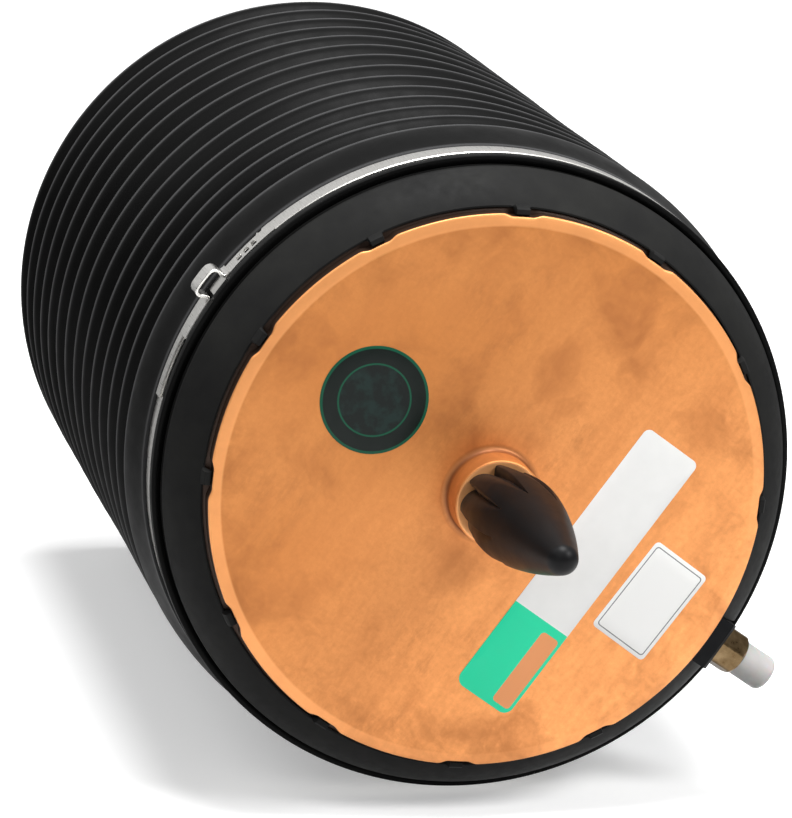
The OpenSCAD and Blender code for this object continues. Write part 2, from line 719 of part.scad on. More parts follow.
// Base flange: disc with ribs on both sides, spigot into the piston, seats for insert and screws
module piston_base() {
    spigot_out = foot_in_r - slip_gap;
    spigot_wall = 3;
    spigot_h = 5;
    hub_r = insert_r + hub_wall;
    hub_top = insert_len + hub_wall;
    pocket_in = hub_r + hub_wall;
    pocket_out = screw_circle / 2 - head_r - hub_wall / 2;
    pocket_depth = 5;
    rib_t = 3;
    rib_count = 12;
    edge = 1.5;
    color("#2e2f31") difference() {
        union() {
            rotate_extrude() polygon([
                [0, 0], [base_r - edge, 0], [base_r, edge], [base_r, base_t - 2 * edge],
                [base_r - 2 * edge, base_t], [spigot_out, base_t], [spigot_out, base_t + spigot_h],
                [spigot_out - spigot_wall, base_t + spigot_h], [spigot_out - spigot_wall, base_t],
                [0, base_t]]);
            translate([0, 0, base_t - cut]) cylinder(r = hub_r, h = hub_top - base_t + cut);
            rotate([0, 0, 180 / rib_count]) around(rib_count)
                translate([hub_r - cut, -rib_t / 2, base_t - cut])
                    cube([spigot_out - spigot_wall - hub_r + 2 * cut, rib_t, spigot_h]);
        }
        translate([0, 0, -cut]) cylinder(r = insert_r, h = insert_len + cut);
        difference() {
            translate([0, 0, -cut]) tube(pocket_out, pocket_in, pocket_depth + cut);
            rotate([0, 0, 180 / rib_count]) around(rib_count)
                translate([hub_r, -rib_t / 2, -2 * cut]) cube([base_r, rib_t, 2 * base_t]);
        }
        around(screw_count) translate([screw_circle / 2, 0, -cut]) {
            cylinder(r = screw_r + slip_gap, h = 2 * base_t);
            cylinder(r = head_r + slip_gap, h = head_seat_z + cut);
            translate([0, 0, base_t + cut + post_lift - slip_gap]) cylinder(r = post_r + slip_gap, h = base_t);
        }
        translate([0, 0, base_t - seal_t]) tube(base_seal_r + base_seal_w, base_seal_r, seal_t + cut);
    }
}

// Screws that hold the base flange to the piston
module base_screws() {
    key_depth = 3;
    color("#a9abad") around(screw_count) translate([screw_circle / 2, 0, head_seat_z]) difference() {
        union() {
            translate([0, 0, -head_h]) cylinder(r = head_r, h = head_h);
            translate([0, 0, -cut]) cylinder(r = screw_r, h = screw_len + cut);
        }
        translate([0, 0, -head_h - cut]) cylinder(r = screw_r, h = key_depth + cut, $fn = 6);
    }
}

// Face seal in the base flange, under the piston's foot
module base_seal() {
    color("#111111") translate([0, 0, base_t - seal_t]) tube(base_seal_r + base_seal_w, base_seal_r, seal_t);
}

// Threaded insert for the lower mounting bolt
module mount_insert() {
    color("#b0a26c") difference() {
        cylinder(r = insert_r, h = insert_len);
        translate([0, 0, -cut]) cylinder(r = mount_bore_r, h = mount_bore_len + cut);
    }
}

// Hoop that keeps the boot's lower collar on the base flange
module lower_boot_ring() {
    in_r = base_r + 2 * soft_gap + boot_t;
    color("#3a3b3d") translate([0, 0, boot_low_z]) tube(in_r + hoop_t, in_r, hoop_h);
}

top_cap();
locating_nose();
housing_ring();
fitting_block();
air_fitting();
port_seal();
tube_seal();
tube_collet();
port_cap();
boot_clamp();
dust_boot();
air_sleeve();
upper_crimp_ring();
strike_plate();
piston();
lower_crimp_ring();
jounce_bumper();
bumper_washer();
bumper_screw();
piston_base();
base_screws();
base_seal();
mount_insert();
lower_boot_ring();
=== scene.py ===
"""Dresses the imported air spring: rubber boot, sleeve, fluted nose, ear clamp, stickers, finishes and studio."""

import math
from functools import partial

import bpy
import numpy as np
from bpy.props import FloatProperty, FloatVectorProperty, IntProperty, PointerProperty
from mathutils import Matrix, Vector


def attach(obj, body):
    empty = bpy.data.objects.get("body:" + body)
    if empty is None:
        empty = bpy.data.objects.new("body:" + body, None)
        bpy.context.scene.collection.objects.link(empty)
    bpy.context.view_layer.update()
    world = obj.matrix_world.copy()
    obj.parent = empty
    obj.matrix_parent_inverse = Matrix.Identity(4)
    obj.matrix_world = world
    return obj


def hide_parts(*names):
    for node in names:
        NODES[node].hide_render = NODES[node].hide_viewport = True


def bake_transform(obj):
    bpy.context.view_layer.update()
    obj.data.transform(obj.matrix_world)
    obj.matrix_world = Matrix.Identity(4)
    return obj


bl_info = {
    "name": "Air Spring Bellows",
    "version": (1, 0, 0),
    "blender": (4, 5, 0),
    "location": "3D View > Sidebar > Air Spring",
    "description": "Builds the visible skin, the finishes and the studio of a vehicle's air spring",
    "category": "Object",
}

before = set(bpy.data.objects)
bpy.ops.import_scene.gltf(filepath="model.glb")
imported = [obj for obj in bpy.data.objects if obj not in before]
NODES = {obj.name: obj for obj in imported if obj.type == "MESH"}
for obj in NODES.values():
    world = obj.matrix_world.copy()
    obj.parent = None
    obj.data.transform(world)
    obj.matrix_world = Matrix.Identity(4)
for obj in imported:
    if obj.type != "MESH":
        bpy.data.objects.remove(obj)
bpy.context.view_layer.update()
MM = 0.001
FACE_Z = 0.275                      # face of the cap plate
PORT_Z = 0.2636                     # axis of the air fitting
FOOT_Z = 0.011                      # last crest of the boot, and middle of the bend at its foot
CLAMP_R, CLAMP_LOW = 0.0914, 0.244  # the clamp's seat on the boot
FINGER_STEP, FINGERS = 30, 11       # degrees between the snap fingers, and their number
FIT_TURN = math.radians(-194.0)     # turns the frame of the camera's fit so that the air fitting is on +X
FIT_UNIT = 0.08                     # metres in a unit of that fit
TO_CAMERA = Vector((-0.327, 0.082, 0.941))
RIGHT = Vector((0.783, 0.581, 0.222))           # to the camera's right
TOP = Vector((-0.529, 0.81, -0.254))            # up in the camera's view
BRIGHT_WAY = Vector((-0.293, 0.659, -0.693))    # above and behind the object in that view


# ---------------------------------------------------------------- colours and nodes


def linear(hex_value):
    """Linear red, green and blue of an sRGB hex value."""
    srgb = [int(hex_value[i:i + 2], 16) / 255 for i in (0, 2, 4)]
    return tuple(c / 12.92 if c <= 0.04045 else ((c + 0.055) / 1.055) ** 2.4 for c in srgb)


def add_node(tree, kind, *values, out=None, **named):
    """Adds a node, and gives its first output in use or the one that out names.

    Values go to the inputs in use, in order, or to the input that a name with a capital gives. A socket is
    linked, and text is an sRGB hex colour. A name in small letters is one of the node's own settings."""
    node = tree.nodes.new("ShaderNode" + kind)
    for name in [n for n in named if n.islower()]:
        setattr(node, name, named.pop(name))
    in_order = zip([s for s in node.inputs if s.enabled], values)
    by_name = [(node.inputs[name.replace("_", " ")], value) for name, value in named.items()]
    for socket, value in [*in_order, *by_name]:
        if isinstance(value, bpy.types.NodeSocket):
            tree.links.new(value, socket)
        else:
            socket.default_value = (*linear(value), 1) if isinstance(value, str) else value
    return node.outputs[out] if out else next((s for s in node.outputs if s.enabled), None)


def emptied(owner):
    """Clears the nodes of a material or world, and gives the function that adds one to it."""
    owner.use_nodes = True
    owner.node_tree.nodes.clear()
    return partial(add_node, owner.node_tree)


def blank(name):
    """A material without nodes, and the function that adds one to it."""
    material = bpy.data.materials.new(name)
    return material, emptied(material)


def patches(add, point, size_mm, low, high, to_low=0, to_high=1, detail=3, rough=0.55):
    """Noise whose largest lumps measure size_mm, its range from low to high spread from to_low to to_high."""
    noise = add("TexNoise", point, 1000 / size_mm, detail, rough)
    return add("MapRange", noise, low, high, to_low, to_high)


def layered(add, ground, *layers):
    """Lays colours over a ground, each through its mask."""
    for mask, coat in layers:
        ground = add("Mix", mask, ground, coat, data_type="RGBA")
    return ground


def finished(material, add, base, rough, height, depth_mm, strength, **shader):
    """Ends a material with one Principled shader, raised by a height field of a real depth in millimetres."""
    raised = add("Bump", Strength=strength, Distance=depth_mm * MM, Height=height)
    shaded = add("BsdfPrincipled", Base_Color=base, Roughness=rough, Normal=raised, **shader)
    add("OutputMaterial", shaded)
    return material


# ---------------------------------------------------------------- finishes


def copper_toned_plate():
    """Steel plate with a copper-toned conversion coat: satin and handled, with brown smudges, faint wiping
    marks and a fine grain. The coat scatters like paint over a metallic sheen, so it is half metallic. Soot
    lies inside the rim. Painted light lies on the coat as well: a painted highlight on the rim's bevel,
    stronger on one side, and in the boss's mouth; painted shade round the boss's foot; the wall below the
    face painted near black as the shade of the gap beside the ring; and one side painted paler as a reflection."""
    material, add = blank("copper_toned_plate")
    place = add("TexCoord", out="Object")
    lumps = add("TexNoise", place, 28, 3, out="Color")      # lumps of 36 mm that bend the smudges
    bent = add("VectorMath", place, add("VectorMath", lumps, (0.03, 0.03, 0), operation="MULTIPLY"))
    wiped = add("Mapping", place, Scale=(1, 0.16, 1))
    stroked = add("Mapping", place, Scale=(1, 0.4, 1))
    flat = add("VectorMath", place, (1, 1, 0), operation="MULTIPLY")
    radius = add("VectorMath", flat, operation="LENGTH")
    height = add("SeparateXYZ", place, out="Z")
    across = add("VectorMath", place, (0.95, -0.31, 0), operation="DOT_PRODUCT")
    cloud = patches(add, place, 95, 0.38, 0.62, detail=2)
    # one side of the plate painted paler: a painted reflection of light
    painted_light_side = add("MapRange", across, -0.03, 0.075, 0, 1)
    wipes = patches(add, wiped, 7, 0.42, 0.8, 0, 0.45, 4, 0.7)
    smudge = patches(add, bent, 30, 0.52, 0.74, 0, 0.85, 5, 0.62)
    grain = patches(add, place, 1.8, 0.3, 0.7, 0, 0.35, 4, 0.75)
    rubbed = add("Math", patches(add, bent, 24, 0.5, 0.7, 0, 0.5), patches(add, stroked, 4, 0.46, 0.72, 0, 1, 5, 0.72),
                 operation="MULTIPLY")
    soot = add("Math", add("MapRange", radius, 0.062, 0.071, 0, 1), patches(add, bent, 17, 0.47, 0.68, 0, 0.5, 4, 0.65),
               operation="MULTIPLY")
    # painted highlight on the rim's bevel, stronger on one side
    bevel = add("Math", add("MapRange", radius, 0.0762, 0.0768, 0, 1), add("MapRange", across, 0.01, 0.06, 0.6, 0.2),
                operation="MULTIPLY")
    # painted highlight in the boss's mouth, lifting the nose's shadow there
    mouth = add("MapRange", radius, 0.0120, 0.0123, 0.9, 0)
    # painted shade round the boss's foot, in the corner with the face
    foot = add("Math", add("MapRange", radius, 0.0130, 0.0148, 0.75, 0),
               add("MapRange", height, FACE_Z + 0.0008, FACE_Z + 0.0024, 1, 0), operation="MULTIPLY")
    # painted shade: the wall below the face, in the gap beside the ring, painted near black
    wall = add("MapRange", height, FACE_Z - 0.0008, FACE_Z - 0.0013, 0, 0.97)
    coat = layered(add, colour("plate"), (cloud, "cb8548"), (painted_light_side, "f3a462"), (wipes, "b06a34"), (smudge, "a0602f"),
                   (grain, "a9662f"), (rubbed, "8f5629"), (soot, "955826"), (bevel, "f0a566"), (mouth, "ffb677"),
                   (foot, "5e3118"), (wall, "120c0b"))
    satin = add("MapRange", smudge, 0, 1, 0.46, 0.58)
    fine = add("TexNoise", place, 1000 / 0.6, 3, 0.55)
    return finished(material, add, coat, satin, fine, 0.02, 0.4, Metallic=0.55)


def moulded_rubber(name, base, worn, rough, gloss, crest=None):
    """Moulded rubber: near black, satin, with a faint bloom and a fine grain from the mould.

    On the boot a painted highlight greys the crests alone, so that each draws a thin line over black folds.
    That colour, where one is given, follows the piece's own crest_distance, in millimetres."""
    material, add = blank(name)
    place = add("TexCoord", out="Object")
    black = layered(add, base, (patches(add, place, 35, 0.4, 0.75), worn))
    if crest:
        # the crest colour is a painted highlight along each crest
        away = add("Attribute", attribute_name="crest_distance", out="Fac")
        black = layered(add, black, (add("MapRange", away, 0.1, 1.4, 1, 0), crest))
    satin = patches(add, place, 6, 0.3, 0.7, rough - 0.04, rough + 0.06)
    grain = add("TexNoise", place, 1000 / 0.9, 3, 0.55)
    return finished(material, add, black, satin, grain, 0.03, 0.3, Specular_IOR_Level=gloss, IOR=1.52)


def moulded_nylon(name, base, pale, rough, gloss=0.4):
    """Glass-filled nylon as moulded: charcoal, satin, with an eroded mould's fine orange peel."""
    material, add = blank(name)
    place = add("TexCoord", out="Object")
    charcoal = layered(add, base, (patches(add, place, 18, 0.35, 0.7, 0, 1, 4, 0.65), pale))
    satin = patches(add, place, 3, 0.3, 0.7, rough - 0.05, rough + 0.07)
    peel = add("TexNoise", place, 1000 / 0.7, 2, 0.55)
    return finished(material, add, charcoal, satin, peel, 0.03, 0.4, Specular_IOR_Level=gloss, IOR=1.53)


def brushed_strip():
    """Stainless strip brushed across its width: bright, with fine lines that cross the band."""
    material, add = blank("brushed_stainless_strip")
    stretched = add("Mapping", add("TexCoord", out="UV"), Scale=(1, 0.06, 1))
    lines = add("TexNoise", stretched, 1000 / 0.35, 3, 0.6)
    shade = add("MapRange", lines, 0.3, 0.7, 0, 1)
    bright = layered(add, "c4c2bd", (shade, "e2e0dc"))
    return finished(material, add, bright, add("MapRange", shade, 0, 1, 0.26, 0.38), lines, 0.01, 0.4,
                    Metallic=1.0, Anisotropic=0.5)


def plated_steel(name, dark, pale, rough):
    """Zinc-plated steel: pale grey, even, slightly mottled."""
    material, add = blank(name)
    place = add("TexCoord", out="Object")
    mottle = patches(add, place, 5, 0.35, 0.65, 0, 1, 4, 0.6)
    grain = add("TexNoise", place, 1000 / 0.5, 2, 0.55)
    return finished(material, add, layered(add, dark, (mottle, pale)),
                    add("MapRange", mottle, 0, 1, rough, rough + 0.1), grain, 0.01, 0.3, Metallic=1.0)


def machined_brass(name, dark, pale, rough):
    """Turned brass, dulled by handling: olive to gold, with turning lines round its axis."""
    material, add = blank(name)
    place = add("TexCoord", out="Object")
    tarnish = patches(add, place, 4, 0.35, 0.68, 0, 1, 4, 0.6)
    lines = add("TexNoise", add("Mapping", place, Scale=(1, 0.05, 0.05)), 1000 / 0.25, 2, 0.55)
    return finished(material, add, layered(add, dark, (tarnish, pale)),
                    add("MapRange", tarnish, 0, 1, rough, rough + 0.12), lines, 0.01, 0.4, Metallic=1.0)


def natural_polyethylene():
    """Polyethylene without pigment: milky, lets some light through, soft shine."""
    material, add = blank("natural_polyethylene")
    place = add("TexCoord", out="Object")
    cloud = patches(add, place, 5, 0.35, 0.65)
    grain = add("TexNoise", place, 1000 / 1.5, 2, 0.55)
    return finished(material, add, layered(add, "b0afad", (cloud, "bab9b7")), add("MapRange", cloud, 0, 1, 0.38, 0.46),
                    grain, 0.02, 0.25, IOR=1.51, Specular_IOR_Level=0.4, Subsurface_Weight=0.5, Subsurface_Scale=0.004)


def cellular_foam():
    """Cellular polyurethane: buff, matte, full of small open pores a millimetre apart, their middles painted darker as
    shade.
    """
    material, add = blank("cellular_polyurethane")
    pores = add("TexVoronoi", add("TexCoord", out="Object"), 900)
    # pores painted darker at their middles: painted shade in the hollows
    depth = add("MapRange", pores, 0, 0.5, 0, 1)
    return finished(material, add, layered(add, "8d7c52", (depth, "cdbf98")), add("MapRange", depth, 0, 1, 0.95, 0.8),
                    depth, 0.25, 0.8, Specular_IOR_Level=0.2)


def cord_rubber():
    """Sleeve rubber over crossed cords: matte black with a faint diamond weave."""
    material, add = blank("cord_rubber")
    place = add("TexCoord", out="UV")
    waves = [add("TexWave", add("Mapping", place, Scale=(1, turn, 1)), 22, 0.4, bands_direction="DIAGONAL", out="Fac")
             for turn in (0.9, -0.9)]
    weave = add("Math", *waves, operation="MULTIPLY")
    return finished(material, add, layered(add, "161617", (weave, "232324")), add("MapRange", weave, 0, 1, 0.7, 0.6),
                    weave, 0.12, 0.5, Specular_IOR_Level=0.25)


def printed_vinyl(name, ground, zones):
    """Printed vinyl sticker: colour fields with rounded corners in the sticker's own UV, and no lettering.

    A point is in a field where its distance from the field's shrunken rectangle is under the corner's radius."""
    material, add = blank(name)
    place = add("TexCoord", out="UV")
    ink = layered(add, ground, (patches(add, place, 7, 0.3, 0.7, 0, 0.05, 2), "8c8c88"))
    for hex_value, (x0, y0, x1, y1), corner in zones:
        middle = ((x0 + x1) / 2 * MM, (y0 + y1) / 2 * MM, 0)
        half = ((x1 - x0) / 2 * MM - corner * MM, (y1 - y0) / 2 * MM - corner * MM, 1)
        away = add("VectorMath", place, middle, operation="SUBTRACT")
        away = add("VectorMath", away, operation="ABSOLUTE")
        away = add("VectorMath", away, half, operation="SUBTRACT")
        away = add("VectorMath", away, (0, 0, 0), operation="MAXIMUM")
        reach = add("VectorMath", away, operation="LENGTH")
        ink = layered(add, ink, (add("Math", reach, corner * MM, operation="LESS_THAN"), hex_value))
    grain = add("TexNoise", place, 1000 / 2.5, 2, 0.55)
    return finished(material, add, ink, patches(add, place, 4, 0.3, 0.7, 0.33, 0.45), grain, 0.01, 0.3,
                    Specular_IOR_Level=0.45)


def dark_seal_vinyl():
    """Dark, partly clear round sticker: smoke-black field with two green rings and no lettering."""
    material, add = blank("dark_seal_vinyl")
    place = add("TexCoord", out="UV")
    radius = add("VectorMath", place, operation="LENGTH")
    cloud = patches(add, place, 5, 0.45, 0.6, 0, 1, 4, 0.6)
    field = layered(add, "0e1513", (cloud, "1c2b28"))
    for low, high, hex_value in ((14.6, 15.6, "14503a"), (10.0, 10.5, "14503a"), (10.5, 14.6, "0d1512")):
        outer = add("Math", radius, high * MM, operation="LESS_THAN")
        inner = add("Math", radius, low * MM, operation="GREATER_THAN")
        field = layered(add, field, (add("Math", outer, inner, operation="MULTIPLY"), hex_value))
    grain = add("TexNoise", place, 1000 / 3, 2, 0.55)
    return finished(material, add, field, add("MapRange", cloud, 0, 1, 0.3, 0.4), grain, 0.01, 0.3,
                    Specular_IOR_Level=0.15)


def give(material, *names):
    """Gives CAD nodes a finish in place of their plain one."""
    for name in names:
        for slot in NODES[name].material_slots:
            slot.material = material


# ---------------------------------------------------------------- surfaces


def surface(name, grid, ends=False, uv=None, sharp_deg=None):
    """A closed mesh over a grid of points: row i and column j give point grid[i, j], and quads join neighbours.

    The last column joins the first. So does the last row, unless ends closes the first and last row with a
    fan round its mean point. The faces are turned outwards by the sign of the enclosed volume. uv gives two
    arrays of one number more than the rows and columns, in metres along each."""
    n, m = grid.shape[:2]
    i, j = np.meshgrid(np.arange(n - ends), np.arange(m), indexing="ij")
    ci = np.stack([i, i + 1, i + 1, i], -1).reshape(-1, 4)
    cj = np.stack([j, j, j + 1, j + 1], -1).reshape(-1, 4)
    faces = (ci % n) * m + cj % m
    points = grid.reshape(-1, 3)
    fans = np.zeros((0, 3), int)
    if ends:
        points = np.vstack([points, grid[0].mean(0), grid[-1].mean(0)])
        k, last = np.arange(m), (n - 1) * m
        fans = np.vstack([np.stack([k, (k + 1) % m, np.full(m, n * m)], -1),
                          np.stack([last + (k + 1) % m, last + k, np.full(m, n * m + 1)], -1)])
    quads = points[faces]
    volume = sum(np.einsum("ij,ij->", quads[:, a], np.cross(quads[:, b], quads[:, c]))
                 for a, b, c in ((0, 1, 2), (0, 2, 3)))
    if volume < 0:
        faces, ci, cj, fans = faces[:, ::-1], ci[:, ::-1], cj[:, ::-1], fans[:, ::-1]
    mesh = bpy.data.meshes.new(name)
    mesh.from_pydata(points.tolist(), [], faces.tolist() + fans.tolist())
    if uv is not None:
        along, across = np.asarray(uv[0], float), np.asarray(uv[1], float)
        corners = np.stack([along[ci], across[cj]], -1).reshape(-1, 2)
        tail = np.zeros((fans.size, 2))
        layer = mesh.uv_layers.new(name="UVMap")
        layer.data.foreach_set("uv", np.vstack([corners, tail]).astype(np.float32).ravel())
    mesh.polygons.foreach_set("use_smooth", np.ones(len(mesh.polygons), bool))
    mesh.validate()
    if sharp_deg:
        mesh.set_sharp_from_angle(angle=math.radians(sharp_deg))
    made = bpy.data.objects.new(name, mesh)
    bpy.context.scene.collection.objects.link(made)
    return made


def lengths(points):
    """Length along a path up to each of its points, in rows of coordinates."""
    return np.concatenate([[0], np.cumsum(np.linalg.norm(np.diff(points, axis=0), axis=1))])


def around(count):
    """Angles of a full turn in equal steps."""
    return np.arange(count) / count * 2 * np.pi


def wheel(r, angle, h):
    """Points at a radius, an angle and a height."""
    return np.stack(np.broadcast_arrays(r * np.cos(angle), r * np.sin(angle), h), -1)


def revolved(name, profile, steps, wobble=None, sharp_deg=None):
    """A closed profile of radius and height, carried round the Z axis. wobble adds to the radius at an angle
    and height."""
    profile = np.asarray(profile, float)
    angle, h = around(steps), profile[:, 1:]
    r = profile[:, :1] + (wobble(angle[None, :], h) if wobble else 0)
    turn = np.arange(steps + 1) / steps * 2 * np.pi * profile[:, 0].mean()
    return surface(name, wheel(r, angle, h), False, (lengths(np.vstack([profile, profile[:1]])), turn), sharp_deg)


def arc(cx, cz, r, a0, a1, n):
    """Points of an arc round (cx, cz), from angle a0 to a1 in degrees."""
    t = np.radians(np.linspace(a0, a1, n))
    return np.stack([cx + r * np.cos(t), cz + r * np.sin(t)], -1)


def band(name, angle, radius, low, high, thick):
    """A strip of sheet metal that follows a path: angle round Z and radius of its inner face, both arrays.

    The section is a rectangle with rounded edges, thick along the path's normal and from low to high along Z."""
    centre = np.stack([radius * np.cos(angle), radius * np.sin(angle)], -1)
    along = np.gradient(centre, axis=0)
    along /= np.linalg.norm(along, axis=1)[:, None]
    normal = np.stack([along[:, 1], -along[:, 0]], -1)
    edge = min(thick, 0.7 * MM) * 0.3
    low, high = np.broadcast_to(low, angle.shape), np.broadcast_to(high, angle.shape)
    out = np.array([edge, thick - edge, thick, thick, thick - edge, edge, 0, 0])
    up = np.array([0, 0, 1, -1, 0, 0, -1, 1.0])
    top = np.array([0, 0, 0, 1, 1, 1, 1, 0.0])
    z = low[:, None] * (1 - top) + high[:, None] * top + up * edge
    xy = centre[:, None, :] + normal[:, None, :] * out[None, :, None]
    side = np.array([0, thick, thick + edge, thick + (high - low)[0], 2 * thick, 2 * thick, 0, 0, 0])
    return surface(name, np.concatenate([xy, z[..., None]], -1), True, (lengths(centre), side), 40)


def vertices(mesh):
    """A mesh's points as rows."""
    co = np.zeros(len(mesh.vertices) * 3, np.float32)
    mesh.vertices.foreach_get("co", co)
    return co.reshape(-1, 3)


def dressed(piece, material, body, replaces=()):
    """Gives a piece its finish and the body it rides on, and hides the CAD nodes that it stands for."""
    piece.data.materials.append(material)
    if replaces:
        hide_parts(*replaces)
    if body:
        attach(piece, body)


# ---------------------------------------------------------------- sizes and colours a user would change


def length(name, description, default):
    """A length that a user would change, in metres."""
    return FloatProperty(name=name, description=description, default=default, unit="LENGTH", subtype="DISTANCE")


def paint(name, description, hex_value):
    """A colour that a user would change."""
    return FloatVectorProperty(name=name, description=description, default=linear(hex_value), subtype="COLOR",
                               min=0, max=1)


class AirSpringSizes(bpy.types.PropertyGroup):
    """Sizes of the soft pieces and the clamp"""

    crest_radius: length("Crest radius", "Radius of the boot's fold crests", 0.0956)
    fold_depth: length("Fold depth", "Depth of the boot's valleys under its crests", 0.0045)
    boot_wall: length("Boot wall", "Thickness of the boot's rubber", 0.0022)
    flute_count: IntProperty(name="Flutes", description="Number of flutes round the nose", default=8)
    flute_depth: length("Flute depth", "Depth of a flute at the nose's skirt", 0.003)
    nose_lean: FloatProperty(name="Nose lean", description="Lean of the rubber nose from the axis",
                             default=math.radians(2.5), unit="ROTATION", subtype="ANGLE")
    ear_height: length("Ear height", "Height of the clamp's ear above its band", 0.0054)


class AirSpringColours(bpy.types.PropertyGroup):
    """Colours of the large pieces and the floor"""

    plate: paint("Plate", "Coat of the cap plate where it is in shade", "c37b3d")
    ring: paint("Ring", "Nylon of the housing ring", "1a1a1a")
    boot: paint("Boot", "Rubber of the dust boot between its crests", "080808")
    floor: paint("Floor", "Studio floor", "e8e8e8")


def sizes():
    """The sizes as they are set."""
    return bpy.context.scene.air_spring_sizes


def colour(name):
    """One of the colours as it is set, for a shader's socket."""
    return (*getattr(bpy.context.scene.air_spring_colours, name), 1)


# ---------------------------------------------------------------- the boot and the sleeve


def crest_heights():
    """Heights of the fold crests, from the clamp down, as in the solids.

    Even spacing, plus a whole sine wave that bunches the crests towards the clamp and half a wave that
    lifts the middle ones."""
    first, folds = FACE_Z - 0.048, 13
    k = np.arange(folds + 1) / folds
    return first - (first - FOOT_Z) * k + 0.0037 * np.sin(2 * np.pi * k) + 0.0021 * np.sin(np.pi * k)


def fold_rows(radius, depth, rows):
    """Radius and height over the folds, with so many rows to a fold.

    The radius falls from the crest by depth x (sin(pi t) squared) to the power 1.4, so that the crests are
    broad and the valleys narrow."""
    crests = crest_heights()
    t = np.arange(rows) / rows
    return np.vstack([np.stack([radius - depth * np.sin(np.pi * t) ** 2.8, a + (b - a) * t], -1)
                      for a, b in zip(crests[:-1], crests[1:])])


def boot_outline():
    """Outer and inner profile of the boot, radius and height in metres, from the top edge to the foot.

    Above the first crest a flank rises from a small shoulder behind the clamp as a quarter of a sine."""
    s = sizes()
    out_r, wall = s.crest_radius, s.boot_wall
    collar, shoulder, shoulder_z = 0.0927, 0.0930, 0.2424
    bend, foot_low, foot_in, foot_out = 0.0045, 0.0015, 0.0804, 0.0825
    q = np.linspace(0, 1, 12)[:-1]
    top = np.vstack([arc(collar - 0.0005, 0.2562, 0.0005, 90, 0, 4), arc(collar - 0.0006, 0.2532, 0.0006, 0, -70, 4),
                     [[CLAMP_R, 0.2525], [CLAMP_R, CLAMP_LOW]], arc(shoulder - 0.0006, 0.2430, 0.0006, 80, 0, 5)])
    flank = np.stack([shoulder + (out_r - shoulder) * np.sin(q * np.pi / 2) ** 1.3,
                      shoulder_z + (crest_heights()[0] - shoulder_z) * q], -1)
    foot = np.vstack([arc(out_r - bend, FOOT_Z, bend, 0, -90, 8),
                      [[0.0828, 0.0062], [foot_out, 0.0058], [foot_out, 0.0018], [0.0822, foot_low]]])
    outer = np.vstack([top, flank, fold_rows(out_r, s.fold_depth, 14), foot])
    inner = np.vstack([[[0.0903, 0.2567], [0.0903, 0.2400]], fold_rows(out_r - wall, s.fold_depth, 8),
                       arc(out_r - bend, FOOT_Z, bend - 0.0022, 0, -90, 5), [[foot_in, 0.0085], [foot_in, foot_low]]])
    return np.vstack([outer, inner[::-1]])


def boot_wobble(angle, z):
    """Soft rubber is never quite round: three slow waves of a few tenths of a millimetre, none at its held ends."""
    top, foot, fade = 0.238, 0.012, 0.03
    free = np.clip((top - z) / fade, 0, 1) * np.clip((z - foot) / fade, 0, 1)
    wave = 0.22 * np.sin(2 * angle + 9 * z) + 0.14 * np.sin(5 * angle - 31 * z + 1) + 0.08 * np.sin(9 * angle + 70 * z)
    return MM * free * wave


class AIRSPRING_OT_boot(bpy.types.Operator):
    """Corrugated dust boot, held by the clamp and by the base's hoop"""

    bl_idname = "airspring.boot"
    bl_label = "Dust boot"

    def execute(self, context):
        piece = revolved("boot_skin", boot_outline(), 288, boot_wobble)
        # the shoulder's edge gets the crests' painted highlight line as well
        shoulder_edge = 0.2427
        away = np.abs(vertices(piece.data)[:, 2:] - np.append(crest_heights(), shoulder_edge)).min(1) / MM
        distance = piece.data.attributes.new("crest_distance", "FLOAT", "POINT")
        distance.data.foreach_set("value", away.astype(np.float32))
        # the last colour, 3d3d3e, is the painted highlight greying each crest
        rubber = moulded_rubber("boot_rubber", colour("boot"), "0d0d0d", 0.44, 0.045, "3d3d3e")
        dressed(piece, rubber, None, ["dust_boot"])
        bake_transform(piece)
        return {"FINISHED"}


class AIRSPRING_OT_sleeve(bpy.types.Operator):
    """Rolling sleeve: the leg under the cap plate with the lobe, and the leg on the piston"""

    bl_idname = "airspring.sleeve"
    bl_label = "Rolling sleeve"

    def execute(self, context):
        rubber = cord_rubber()
        lobe_r, lobe_z, out, into = 0.0735, 0.080, 0.0112, 0.0072
        high = np.linspace(0.2525, lobe_z + 0.004, 40)
        leg = [np.stack([np.full(high.size, lobe_r + side), high], -1) for side in (out, into)]
        outer = np.vstack([leg[0], arc(lobe_r, lobe_z, out, 0, -180, 25), arc(lobe_r, lobe_z, into, -180, 0, 25),
                           leg[1][::-1]])
        piece = revolved("sleeve_outer_leg", outer, 144)
        dressed(piece, rubber, None, ["air_sleeve"])
        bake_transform(piece)
        neck = [[0.0623, 0.0800], [0.0623, 0.0983], [0.0563, 0.1043], [0.0563, 0.1270], [0.0603, 0.1270],
                [0.0603, 0.1053], [0.0663, 0.0993], [0.0663, 0.0800]]
        piece = revolved("sleeve_inner_leg", neck, 144, sharp_deg=40)
        dressed(piece, rubber, "lower", ["air_sleeve"])
        return {"FINISHED"}


# ---------------------------------------------------------------- the nose


